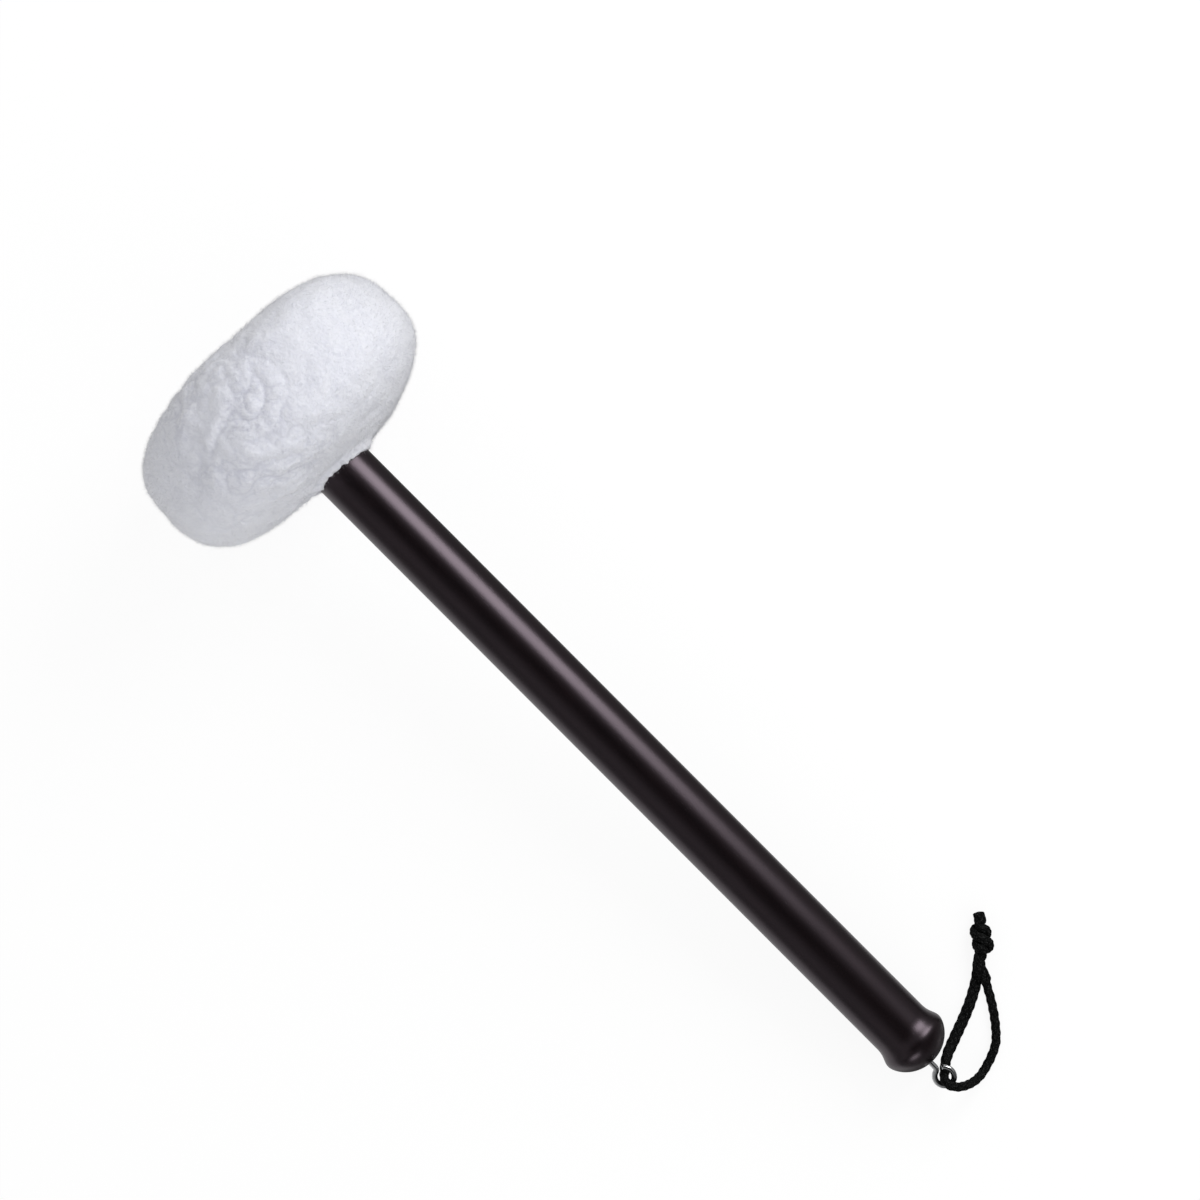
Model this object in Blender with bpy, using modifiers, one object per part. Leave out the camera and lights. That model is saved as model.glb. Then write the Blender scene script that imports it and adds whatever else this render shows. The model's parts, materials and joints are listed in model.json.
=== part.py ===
"""Gong mallet: a padded fleece head on a turned handle, with a cord loop through a screw eye in the butt.

The mallet lies on a flat surface at z = 0, with +X from the head to the butt. The head rests on the
flat that its weight presses into the pile, and the butt rests on its flare, so the handle slopes.
Pieces that touch on the real mallet keep FIT_GAP between them.
"""

import math

import bmesh
import bpy
from mathutils import Matrix, Vector

# Clearances
FIT_GAP = 0.0003
RECESS_SIDE_GAP = 0.0006

# Hardwood core of the head
CORE_DIAMETER = 0.070
CORE_LENGTH = 0.036
CORE_EDGE_ROUND = 0.003
CORE_WEB = 0.0045  # wood left between the tenon and the screw's recess

# Felt padding round the core, and the fleece over it
RIM_FELT_THICKNESS = 0.0110
FACE_FELT_THICKNESS = 0.0050
FELT_FULLNESS = 3.2  # exponent of the outline: 2 is an ellipse, and more is squarer
FLEECE_RIM_THICKNESS = 0.0094
FLEECE_FACE_THICKNESS = 0.0061
FLEECE_FULLNESS = 2.7
REST_PRESS = 0.0020  # how far the pile gives way under the head
DRAWCORD_DIAMETER = 0.0020

# Handle
HANDLE_SHOWING = 0.29465  # back of the head to the end of the butt
HANDLE_DIAMETER = 0.0222
TENON_DIAMETER = 0.0160
TENON_CHAMFER = 0.0010
FLARE_DIAMETER = 0.0255
FLARE_TO_END = 0.0095
FLARE_RUN = 0.0071  # straight handle to the widest ring of the flare
FLARE_START_PULL = 0.55  # shares of the run that the hollow's two tangents take
FLARE_END_PULL = 0.30
SHOULDER_PULL = 0.30  # share of the dome's length that its shoulder's tangent takes
DOME_PULL = 0.67  # share of the flare's radius that the dome's end tangent takes

# Screw and washer that hold the core on the tenon
SCREW_DIAMETER = 0.0048
SCREW_LENGTH = 0.032
SCREW_TIP = 0.005
SCREW_HEAD_DIAMETER = 0.0090
SCREW_HEAD_HEIGHT = 0.0030
SCREW_HEAD_ROUND = 0.0012
WASHER_DIAMETER = 0.018
WASHER_THICKNESS = 0.0015
RECESS_SPARE_DEPTH = 0.0005

# Screw eye in the butt
EYE_OUTER_DIAMETER = 0.0088
EYE_WIRE_DIAMETER = 0.0020
EYE_REACH = 0.00705  # end of the butt to the centre of the ring
EYE_OFF_AXIS = -0.0011  # the eye sits a little to one side of the handle's axis
EYE_TURN = math.radians(15)  # the ring's turn about its shank
EYE_CUT_ANGLE = math.radians(27)  # from the shank to the wire's cut end
EYE_LEAVE_ANGLE = math.radians(20)  # from the shank to where the ring bends into it
EYE_PLAIN_SHANK = 0.003  # unthreaded wire inside the wood
THREAD_LENGTH = 0.013
THREAD_DIAMETER = 0.0021
THREAD_DEPTH = 0.0003
THREAD_PITCH = 0.0011
THREAD_TIP = 0.0020

# Cord loop, laid on the surface with its knot away from the butt
CORD_DIAMETER = 0.0032
TAIL_LENGTH = 0.0042
KNOT_LENGTH = 0.0109
KNOT_WIDTH = 0.0085
KNOT_CORE_SWELL = 1.15  # the legs spread a little where the knot squeezes them
KNOT_HEADING = math.radians(133.4)
KNOT_FOOT = Vector((-0.0210, 0.0389))  # where the two legs enter it, seen from above
TAIL_HEADING = math.radians(147)
LOBE_LENGTH = 0.0056
LOBE_TILT = (math.radians(18), math.radians(-14))

# Sides and steps of the round shapes, and pieces of their outlines
FLARE_PIECES = 6
DOME_PIECES = 8
FLEECE_PIECES = 20
PADDING_PIECES = 5
RING_PIECES = 26
BEND_PIECES = 5
DRAWCORD_SIDES = 8
HEAD_STEPS = 40
HANDLE_STEPS = 36
SMALL_STEPS = 16
THREAD_STEPS = 12
CORD_STEP = 0.0020

# Places that follow from the sizes
CORE_HALF = CORE_LENGTH / 2
CORE_RADIUS = CORE_DIAMETER / 2
FELT_RADIUS = CORE_RADIUS + FIT_GAP + RIM_FELT_THICKNESS
FELT_HALF = CORE_HALF + FIT_GAP + FACE_FELT_THICKNESS
FELT_FACE = CORE_HALF + FIT_GAP
HEAD_RADIUS = FELT_RADIUS + FIT_GAP + FLEECE_RIM_THICKNESS
HEAD_HALF = FELT_HALF + FIT_GAP + FLEECE_FACE_THICKNESS
HANDLE_RADIUS = HANDLE_DIAMETER / 2
FLARE_RADIUS = FLARE_DIAMETER / 2
NECK_RADIUS = HANDLE_RADIUS + FIT_GAP
FELT_NECK = -FELT_HALF * (1 - (NECK_RADIUS / FELT_RADIUS) ** FELT_FULLNESS) ** (1 / FELT_FULLNESS)
FLEECE_NECK = -HEAD_HALF * (1 - (NECK_RADIUS / HEAD_RADIUS) ** FLEECE_FULLNESS) ** (1 / FLEECE_FULLNESS)
NECK_MIDDLE = (FELT_NECK + FLEECE_NECK) / 2
BUTT_END = -HEAD_HALF - HANDLE_SHOWING
FLARE_AT = BUTT_END + FLARE_TO_END
RECESS_DEPTH = WASHER_THICKNESS + SCREW_HEAD_HEIGHT + 2 * FIT_GAP + RECESS_SPARE_DEPTH
RECESS_FLOOR = CORE_HALF - RECESS_DEPTH
TENON_TOP = RECESS_FLOOR - CORE_WEB - FIT_GAP
SCREW_HOLE_RADIUS = SCREW_DIAMETER / 2 + FIT_GAP
SCREW_SEAT = RECESS_FLOOR + 2 * FIT_GAP + WASHER_THICKNESS
EYE_CENTRE = BUTT_END - EYE_REACH
EYE_RING_RADIUS = (EYE_OUTER_DIAMETER - EYE_WIRE_DIAMETER) / 2
WIRE_RADIUS = EYE_WIRE_DIAMETER / 2
CORD_RADIUS = CORD_DIAMETER / 2
CORD_STACK = CORD_DIAMETER + FIT_GAP  # between the middles of two cords that lie together
ON_FLOOR = CORD_RADIUS
KNOT_AHEAD = Vector((math.cos(KNOT_HEADING), math.sin(KNOT_HEADING)))

# The handle slopes by the angle at which both the pressed head and the flare meet the surface.
HEAD_HEIGHT = HEAD_RADIUS - REST_PRESS
SLOPE = math.asin(HEAD_HEIGHT / math.hypot(FLARE_AT, FLARE_RADIUS)) - math.atan2(FLARE_RADIUS, -FLARE_AT)
EYE_HEIGHT = HEAD_HEIGHT + EYE_CENTRE * math.sin(SLOPE)

# Route of the cord loop, from its lower leg round through the ring to its upper leg. The first two
# numbers are the place seen from above, from the ring's centre. The third is the height above that
# centre, and LAID stands for a cord that lies on the surface.
LAID = -1.0
LOOP_ROUTE = [
    (-0.0165, 0.0335, LAID),
    (-0.0142, 0.0299, LAID),
    (-0.0115, 0.0248, LAID),
    (-0.0092, 0.0194, LAID),
    (-0.0072, 0.0139, -0.0086),
    (-0.0057, 0.0097, -0.0077),
    (-0.0045, 0.0064, -0.0061),
    (-0.0028, 0.0034, -0.0045),
    (-0.0010, 0.0011, -0.0027),
    (-0.0002, -0.0001, 0.0),
    (0.0011, -0.0008, 0.0025),
    (0.0036, -0.0006, 0.0035),
    (0.0065, 0.0018, 0.0014),
    (0.0085, 0.0055, -0.0033),
    (0.0090, 0.0092, -0.0072),
    (0.0083, 0.0129, -0.0086),
    (0.0070, 0.0169, LAID),
    (0.0049, 0.0210, LAID),
    (0.0016, 0.0244, LAID),
    (-0.0027, 0.0278, LAID),
    (-0.0074, 0.0309, LAID),
]
LEG_STRAIGHT = 0.0014  # last stretch of each leg, in line with the knot
LEG_CLIMB = 0.0085  # stretch before it, in which the upper leg rolls up onto the lower one


MERGE_DISTANCE = 0.00001


def clear_scene():
    for old in list(bpy.data.objects):
        bpy.data.objects.remove(old)


def collection(name):
    made = bpy.data.collections.new(name)
    bpy.context.scene.collection.children.link(made)
    return made


def material(name, colour, roughness, metallic=0.0):
    made = bpy.data.materials.new(name)
    made.use_nodes = True
    shader = made.node_tree.nodes["Principled BSDF"]
    shader.inputs["Base Color"].default_value = (*colour, 1.0)
    shader.inputs["Roughness"].default_value = roughness
    shader.inputs["Metallic"].default_value = metallic
    return made


def empty(name, home, matrix, parent=None):
    made = bpy.data.objects.new(name, None)
    home.objects.link(made)
    made.parent = parent
    made.matrix_local = matrix
    return made


def place(made, home, finish, parent):
    """Puts a new object in its collection, with its material, on the empty that carries it."""
    home.objects.link(made)
    if finish:
        made.data.materials.append(finish)
    made.parent = parent
    return made


def turned(name, outline, steps, home, finish, parent, closed=False):
    """A piece turned about its own Z axis. The outline's (radius, height) points run down the outer side."""
    mesh = bpy.data.meshes.new(name)
    shape = bmesh.new()
    points = [shape.verts.new((radius, 0.0, height)) for radius, height in outline]
    for first, second in zip(points, points[1:]):
        shape.edges.new((first, second))
    if closed:
        shape.edges.new((points[-1], points[0]))
    shape.to_mesh(mesh)
    shape.free()
    made = place(bpy.data.objects.new(name, mesh), home, finish, parent)
    screw = made.modifiers.new("Turn", "SCREW")
    screw.axis = "Z"
    screw.steps = steps
    screw.render_steps = steps
    screw.use_merge_vertices = True
    screw.merge_threshold = MERGE_DISTANCE
    return made


def tube(name, points, radius, home, finish, parent):
    """A round bar that follows the points, with closed ends."""
    curve = bpy.data.curves.new(name, "CURVE")
    curve.dimensions = "3D"
    curve.bevel_depth = radius
    curve.bevel_resolution = 2
    curve.use_fill_caps = True
    spline = curve.splines.new("POLY")
    spline.points.add(len(points) - 1)
    for target, point in zip(spline.points, points):
        target.co = (*point, 1.0)
    return place(bpy.data.objects.new(name, curve), home, finish, parent)


def as_mesh(curve_object, home, finish):
    """The same tube as a closed mesh, so that it can be joined to another shape."""
    name = curve_object.name
    parent = curve_object.parent
    matrix = curve_object.matrix_local.copy()
    curve_object.name = name + "_guide"
    bpy.context.view_layer.update()
    evaluated = curve_object.evaluated_get(bpy.context.evaluated_depsgraph_get())
    mesh = bpy.data.meshes.new_from_object(evaluated)
    mesh.materials.clear()
    shape = bmesh.new()
    shape.from_mesh(mesh)
    bmesh.ops.remove_doubles(shape, verts=shape.verts, dist=MERGE_DISTANCE)
    shape.to_mesh(mesh)
    shape.free()
    bpy.data.objects.remove(curve_object)
    made = place(bpy.data.objects.new(name, mesh), home, finish, parent)
    made.matrix_local = matrix
    mesh.shade_smooth()
    return made


def boolean(target, tool, operation):
    modifier = target.modifiers.new(operation.capitalize(), "BOOLEAN")
    modifier.operation = operation
    modifier.solver = "EXACT"
    modifier.object = tool
    tool.hide_render = True
    tool.display_type = "WIRE"


def arc(radius, height, size, start, end, count=4):
    """Points of a round edge about (radius, height), from one angle to another, in degrees."""
    angles = [math.radians(start + (end - start) * i / count) for i in range(count + 1)]
    return [(radius + size * math.cos(a), height + size * math.sin(a)) for a in angles]


def bezier(first, first_pull, last_pull, last, count):
    points = []
    for i in range(count + 1):
        t = i / count
        weights = ((1 - t) ** 3, 3 * t * (1 - t) ** 2, 3 * t * t * (1 - t), t**3)
        corners = (first, first_pull, last_pull, last)
        points.append(tuple(sum(w * c[k] for w, c in zip(weights, corners)) for k in range(2)))
    return points


def fullness_angle(height, half, fullness):
    """The outline's own angle at a height: 0 at the top of the axis and pi at the bottom."""
    share = max(-1.0, min(1.0, height / half))
    return math.acos(math.copysign(abs(share) ** (fullness / 2), share))


def full_outline(half, radius, fullness, top, bottom, count):
    """A full, squarish oval outline from one height down to another."""
    start = fullness_angle(top, half, fullness)
    end = fullness_angle(bottom, half, fullness)
    points = []
    for i in range(count + 1):
        angle = start + (end - start) * i / count
        across = radius * abs(math.sin(angle)) ** (2 / fullness)
        up = math.copysign(half * abs(math.cos(angle)) ** (2 / fullness), math.cos(angle))
        points.append((across, up))
    return points


def padding_outline(grow, top, bottom):
    """Outside of the felt padding between two of its heights, or the same line some way outside it."""
    share = (FELT_HALF + grow) / FELT_HALF
    radius = FELT_RADIUS + grow
    return full_outline(FELT_HALF + grow, radius, FELT_FULLNESS, top * share, bottom * share, PADDING_PIECES)


def smooth_line(points, step):
    """Points about a step apart on the smooth curve through the route's points."""
    route = [Vector(point) for point in points]
    route = [2 * route[0] - route[1], *route, 2 * route[-1] - route[-2]]
    line = []
    for before, start, end, after in zip(route, route[1:], route[2:], route[3:]):
        pieces = max(1, round((end - start).length / step))
        for i in range(pieces):
            t = i / pieces
            line.append(
                start
                + (end - before) * (t / 2)
                + (2 * before - 5 * start + 4 * end - after) * (t * t / 2)
                + (3 * start - before - 3 * end + after) * (t**3 / 2)
            )
    line.append(route[-2])
    return line


def handle(home, cutters, finish, axis):
    """Turned hardwood: tenon with the screw's pilot hole, shoulder, straight grip, flare and domed end."""
    hole_bottom = SCREW_SEAT - SCREW_LENGTH - FIT_GAP
    shoulder = -CORE_HALF - FIT_GAP
    tenon_radius = TENON_DIAMETER / 2
    outline = [(0.0, hole_bottom), (SCREW_HOLE_RADIUS, hole_bottom + SCREW_TIP)]
    outline += [(SCREW_HOLE_RADIUS, TENON_TOP), (tenon_radius - TENON_CHAMFER, TENON_TOP)]
    outline += [(tenon_radius, TENON_TOP - TENON_CHAMFER), (tenon_radius, shoulder)]
    outline += [(HANDLE_RADIUS, shoulder)]
    flare_start = FLARE_AT + FLARE_RUN
    outline += bezier(
        (HANDLE_RADIUS, flare_start),
        (HANDLE_RADIUS, flare_start - FLARE_START_PULL * FLARE_RUN),
        (FLARE_RADIUS, FLARE_AT + FLARE_END_PULL * FLARE_RUN),
        (FLARE_RADIUS, FLARE_AT),
        FLARE_PIECES,
    )
    dome = bezier(
        (FLARE_RADIUS, FLARE_AT),
        (FLARE_RADIUS, FLARE_AT - SHOULDER_PULL * FLARE_TO_END),
        (DOME_PULL * FLARE_RADIUS, BUTT_END),
        (0.0, BUTT_END),
        DOME_PIECES,
    )
    made = turned("handle", outline + dome[1:], HANDLE_STEPS, home, finish, axis)
    pilot_radius = THREAD_DIAMETER / 2 + FIT_GAP
    pilot_top = BUTT_END + EYE_PLAIN_SHANK + THREAD_LENGTH + FIT_GAP
    pilot = [(0.0, pilot_top), (pilot_radius, pilot_top - THREAD_TIP)]
    pilot += [(pilot_radius, BUTT_END - FLARE_TO_END), (0.0, BUTT_END - FLARE_TO_END)]
    cutter = turned("pilot_hole_cutter", pilot, SMALL_STEPS, cutters, None, axis)
    cutter.location = (0.0, EYE_OFF_AXIS, 0.0)
    boolean(made, cutter, "DIFFERENCE")
    return made


def head_core(home, finish, axis):
    """Turned drum with a blind bore for the tenon, and a recess for the screw's head and washer."""
    edge = CORE_EDGE_ROUND
    bore_radius = TENON_DIAMETER / 2 + FIT_GAP
    bore_top = TENON_TOP + FIT_GAP
    recess_radius = WASHER_DIAMETER / 2 + RECESS_SIDE_GAP
    outline = arc(CORE_RADIUS - edge, CORE_HALF - edge, edge, 90, 0)
    outline += arc(CORE_RADIUS - edge, edge - CORE_HALF, edge, 0, -90)
    outline += [(bore_radius, -CORE_HALF), (bore_radius, bore_top), (SCREW_HOLE_RADIUS, bore_top)]
    outline += [(SCREW_HOLE_RADIUS, RECESS_FLOOR), (recess_radius, RECESS_FLOOR), (recess_radius, CORE_HALF)]
    return turned("head_core", outline, HEAD_STEPS, home, finish, axis, closed=True)


def head_washer(home, finish, axis):
    bottom = RECESS_FLOOR + FIT_GAP
    top = bottom + WASHER_THICKNESS
    outer = WASHER_DIAMETER / 2
    outline = [(outer, top), (outer, bottom), (SCREW_HOLE_RADIUS, bottom), (SCREW_HOLE_RADIUS, top)]
    return turned("head_washer", outline, SMALL_STEPS, home, finish, axis, closed=True)


def head_screw(home, finish, axis):
    """Pan-head wood screw through the core's web into the end of the tenon."""
    shank = SCREW_DIAMETER / 2
    head = SCREW_HEAD_DIAMETER / 2
    top = SCREW_SEAT + SCREW_HEAD_HEIGHT
    tip = SCREW_SEAT - SCREW_LENGTH
    outline = [(0.0, top)]
    outline += arc(head - SCREW_HEAD_ROUND, top - SCREW_HEAD_ROUND, SCREW_HEAD_ROUND, 90, 0)
    outline += [(head, SCREW_SEAT), (shank, SCREW_SEAT), (shank, tip + SCREW_TIP), (0.0, tip)]
    return turned("head_screw", outline, SMALL_STEPS, home, finish, axis)


def felt_rim_band(home, finish, axis):
    """Felt strip wound round the core."""
    inner = CORE_RADIUS + FIT_GAP
    outline = padding_outline(0.0, CORE_HALF, -CORE_HALF)
    outline += [(inner, -CORE_HALF), (inner, CORE_HALF)]
    return turned("felt_rim_band", outline, HEAD_STEPS, home, finish, axis, closed=True)


def felt_front_pad(home, finish, axis):
    """Felt disc over the front of the core, which covers the screw."""
    outline = padding_outline(0.0, FELT_HALF, FELT_FACE)
    return turned("felt_front_pad", outline + [(0.0, FELT_FACE)], HEAD_STEPS, home, finish, axis)


def felt_rear_pad(home, finish, axis):
    """Felt ring behind the core, with a hole for the handle."""
    outline = [(NECK_RADIUS, -FELT_FACE)] + padding_outline(0.0, -FELT_FACE, FELT_NECK)
    return turned("felt_rear_pad", outline, HEAD_STEPS, home, finish, axis, closed=True)


def fleece_cover(home, cutters, finish, axis):
    """Deep-pile sock over the padding, open at the neck, with a channel there for its drawcord."""
    channel_half = DRAWCORD_DIAMETER / 2 + FIT_GAP
    channel_radius = NECK_RADIUS + DRAWCORD_DIAMETER + FIT_GAP
    outline = full_outline(HEAD_HALF, HEAD_RADIUS, FLEECE_FULLNESS, HEAD_HALF, FLEECE_NECK, FLEECE_PIECES)
    outline += [(NECK_RADIUS, NECK_MIDDLE - channel_half), (channel_radius, NECK_MIDDLE - channel_half)]
    outline += [(channel_radius, NECK_MIDDLE + channel_half), (NECK_RADIUS, NECK_MIDDLE + channel_half)]
    cavity = padding_outline(FIT_GAP, FELT_HALF, FELT_FACE)
    cavity += padding_outline(FIT_GAP, CORE_HALF, -CORE_HALF)
    cavity += padding_outline(FIT_GAP, -FELT_FACE, FELT_NECK)
    made = turned("fleece_cover", outline + cavity[::-1], HEAD_STEPS, home, finish, axis)
    mesh = bpy.data.meshes.new("rest_flat_cutter")
    shape = bmesh.new()
    bmesh.ops.create_cube(shape, size=4 * HEAD_RADIUS)
    shape.to_mesh(mesh)
    shape.free()
    cutter = place(bpy.data.objects.new("rest_flat_cutter", mesh), cutters, None, None)
    cutter.location = (axis.location.x, 0.0, -2 * HEAD_RADIUS)
    boolean(made, cutter, "DIFFERENCE")
    return made


def neck_drawcord(home, finish, axis):
    """Cord in the neck's channel that gathers the fleece tight round the handle."""
    size = DRAWCORD_DIAMETER / 2
    outline = arc(NECK_RADIUS + size, NECK_MIDDLE, size, 360, 360 / DRAWCORD_SIDES, DRAWCORD_SIDES - 1)
    return turned("neck_drawcord", outline, HANDLE_STEPS, home, finish, axis, closed=True)


def eye_wire_line():
    """Middle of the eye's wire from its cut end, round the ring, into the shank and the wood."""
    line = []
    turn = 2 * math.pi - EYE_LEAVE_ANGLE - EYE_CUT_ANGLE
    for i in range(RING_PIECES + 1):
        angle = EYE_CUT_ANGLE + turn * i / RING_PIECES
        line.append(Vector((0.0, EYE_RING_RADIUS * math.sin(angle), EYE_RING_RADIUS * math.cos(angle))))
    # The bend turns the wire from the ring's tangent to the shank's line, and ends on it.
    bend = line[-1].y / (math.sin(EYE_LEAVE_ANGLE) - 1)
    for i in range(1, BEND_PIECES + 1):
        angle = EYE_LEAVE_ANGLE + (math.pi / 2 - EYE_LEAVE_ANGLE) * i / BEND_PIECES
        across = line[RING_PIECES].y + bend * (math.sin(angle) - math.sin(EYE_LEAVE_ANGLE))
        up = line[RING_PIECES].z + bend * (math.cos(EYE_LEAVE_ANGLE) - math.cos(angle))
        line.append(Vector((0.0, across, up)))
    line.append(Vector((0.0, 0.0, EYE_REACH + EYE_PLAIN_SHANK)))
    return line


def eye_screw(home, cutters, finish, axis):
    """Bent steel wire: an almost closed ring, a plain shank and a thread that grips the wood."""
    seat = empty("eye_seat", home, Matrix.Translation((0.0, EYE_OFF_AXIS, EYE_CENTRE)), axis)
    seat.rotation_euler = (0.0, 0.0, -EYE_TURN)
    wire = tube("eye_screw", eye_wire_line(), WIRE_RADIUS, home, None, seat)
    made = as_mesh(wire, home, finish)
    crest = THREAD_DIAMETER / 2
    root = crest - THREAD_DEPTH
    base = EYE_REACH + EYE_PLAIN_SHANK
    top = base + THREAD_LENGTH
    outline = [(0.0, top), (root, top - THREAD_TIP)]
    ridges = int((THREAD_LENGTH - THREAD_TIP) / THREAD_PITCH)
    for i in range(ridges):
        height = top - THREAD_TIP - (i + 0.5) * THREAD_PITCH
        outline += [(crest, height), (root, height - THREAD_PITCH / 2)]
    outline += [(root, base - EYE_PLAIN_SHANK / 2), (0.0, base - EYE_PLAIN_SHANK / 2)]
    thread = turned("eye_thread_tool", outline, THREAD_STEPS, cutters, None, seat)
    boolean(made, thread, "UNION")
    return made


def loop_cord(home, finish, pivot):
    """Braided cord from the knot, under and up through the ring, and back to the knot."""
    floor = ON_FLOOR - EYE_HEIGHT
    route = [Vector((x, y, max(height, floor))) for x, y, height in LOOP_ROUTE]
    foot = Vector((*KNOT_FOOT, floor))
    ahead = Vector((*KNOT_AHEAD, 0.0))
    lower_end = [foot - ahead * FIT_GAP, foot - ahead * LEG_STRAIGHT]
    upper_end = [point + Vector((0.0, 0.0, CORD_STACK)) for point in reversed(lower_end)]
    # The climbing leg keeps one cord's width from the lower leg, first beside it and then above it.
    climb = []
    run = (route[0] - lower_end[1]).normalized()
    beside = Vector((-run.y, run.x, 0.0))
    for share in (1.0, 0.75, 0.5, 0.25):
        roll = share**2 * math.pi / 2
        offset = beside * math.sin(roll) + Vector((0.0, 0.0, math.cos(roll)))
        climb.append(lower_end[1] + run * (LEG_CLIMB * share) + offset * CORD_STACK)
    line = smooth_line(lower_end + route + climb + upper_end, CORD_STEP)
    for point in line:
        point.z = max(point.z, floor)
    return tube("loop_cord", line, CORD_RADIUS, home, finish, pivot)


def loop_knot(home, cutters, finish, pivot):
    """Overhand knot in the doubled cord: two tilted turns round the legs that pass through it."""
    centre = KNOT_FOOT + KNOT_AHEAD * (KNOT_LENGTH / 2)
    height = KNOT_WIDTH / 2 - EYE_HEIGHT
    core_height = (CORD_STACK + CORD_DIAMETER) / 2
    upright = Matrix.Rotation(KNOT_HEADING, 4, "Z") @ Matrix.Rotation(math.pi / 2, 4, "Y")
    mesh = bpy.data.meshes.new("loop_knot")
    shape = bmesh.new()
    bmesh.ops.create_cone(
        shape,
        cap_ends=True,
        segments=SMALL_STEPS,
        radius1=1.0,
        radius2=1.0,
        depth=KNOT_LENGTH,
        matrix=Matrix.Diagonal((core_height, CORD_RADIUS * KNOT_CORE_SWELL, 1.0, 1.0)),
    )
    shape.to_mesh(mesh)
    shape.free()
    made = place(bpy.data.objects.new("loop_knot", mesh), home, finish, pivot)
    made.matrix_local = Matrix.Translation((*centre, core_height - EYE_HEIGHT)) @ upright
    for index, tilt in enumerate(LOBE_TILT):
        along = centre + KNOT_AHEAD * ((index - 0.5) * (KNOT_LENGTH - LOBE_LENGTH - 2 * FIT_GAP))
        mesh = bpy.data.meshes.new("knot_turn_tool")
        shape = bmesh.new()
        bmesh.ops.create_uvsphere(shape, u_segments=SMALL_STEPS, v_segments=SMALL_STEPS // 2, radius=1.0)
        half = KNOT_WIDTH / 2
        bmesh.ops.scale(shape, verts=shape.verts, vec=(half, half, LOBE_LENGTH / 2))
        shape.to_mesh(mesh)
        shape.free()
        lobe = place(bpy.data.objects.new("knot_turn_tool", mesh), cutters, None, pivot)
        lobe.matrix_local = Matrix.Translation((*along, height)) @ upright @ Matrix.Rotation(tilt, 4, "X")
        boolean(made, lobe, "UNION")
    return made


def loop_tail(name, height, home, finish, pivot):
    """Short end of the cord beyond the knot, sealed with heat."""
    level = height - EYE_HEIGHT
    start = KNOT_FOOT + KNOT_AHEAD * (KNOT_LENGTH + FIT_GAP)
    bend = start + KNOT_AHEAD * (TAIL_LENGTH / 3)
    end = bend + Vector((math.cos(TAIL_HEADING), math.sin(TAIL_HEADING))) * (TAIL_LENGTH * 2 / 3)
    line = [(*start, level), (*bend, level), (*end, level)]
    return tube(name, line, CORD_RADIUS, home, finish, pivot)


def main():
    clear_scene()
    home = collection("gong_mallet")
    cutters = collection("cutters")
    lacquer = material("lacquered_wood", (0.030, 0.017, 0.017), 0.28)
    core_wood = material("core_wood", (0.55, 0.37, 0.20), 0.60)
    felt = material("felt", (0.62, 0.60, 0.56), 0.95)
    fleece = material("fleece", (0.78, 0.79, 0.83), 0.95)
    steel = material("bright_steel", (0.72, 0.72, 0.75), 0.18, 1.0)
    zinc = material("zinc_steel", (0.60, 0.61, 0.62), 0.35, 1.0)
    white_cord = material("white_cord", (0.80, 0.79, 0.76), 0.85)
    black_cord = material("black_cord", (0.010, 0.010, 0.012), 0.80)

    # The object's middle lies over the origin: its ends are the head's front and the eye's ring.
    dual = FLEECE_FULLNESS / (FLEECE_FULLNESS - 1)
    ends = (HEAD_HALF * math.cos(SLOPE), HEAD_RADIUS * math.sin(SLOPE))
    front = sum(end**dual for end in ends) ** (1 / dual)
    back = -EYE_CENTRE * math.cos(SLOPE) + EYE_RING_RADIUS * math.cos(SLOPE) + WIRE_RADIUS
    head_x = (front - back) / 2
    tilt = Matrix.Rotation(SLOPE - math.pi / 2, 4, "Y")
    axis = empty("mallet_axis", home, Matrix.Translation((head_x, 0.0, HEAD_HEIGHT)) @ tilt)
    eye_x = head_x - EYE_CENTRE * math.cos(SLOPE)
    pivot = empty("loop_swing_axis", home, Matrix.Translation((eye_x, EYE_OFF_AXIS, EYE_HEIGHT)))

    handle(home, cutters, lacquer, axis)
    head_core(home, core_wood, axis)
    head_washer(home, zinc, axis)
    head_screw(home, zinc, axis)
    felt_rim_band(home, felt, axis)
    felt_front_pad(home, felt, axis)
    felt_rear_pad(home, felt, axis)
    fleece_cover(home, cutters, fleece, axis)
    neck_drawcord(home, white_cord, axis)
    eye_screw(home, cutters, steel, axis)
    loop_cord(home, black_cord, pivot)
    loop_knot(home, cutters, black_cord, pivot)
    loop_tail("loop_tail_under", ON_FLOOR, home, black_cord, pivot)
    loop_tail("loop_tail_over", ON_FLOOR + CORD_STACK, home, black_cord, pivot)


main()
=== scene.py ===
import json
import math
import random

import bpy
from mathutils import Matrix, Vector, noise


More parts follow.
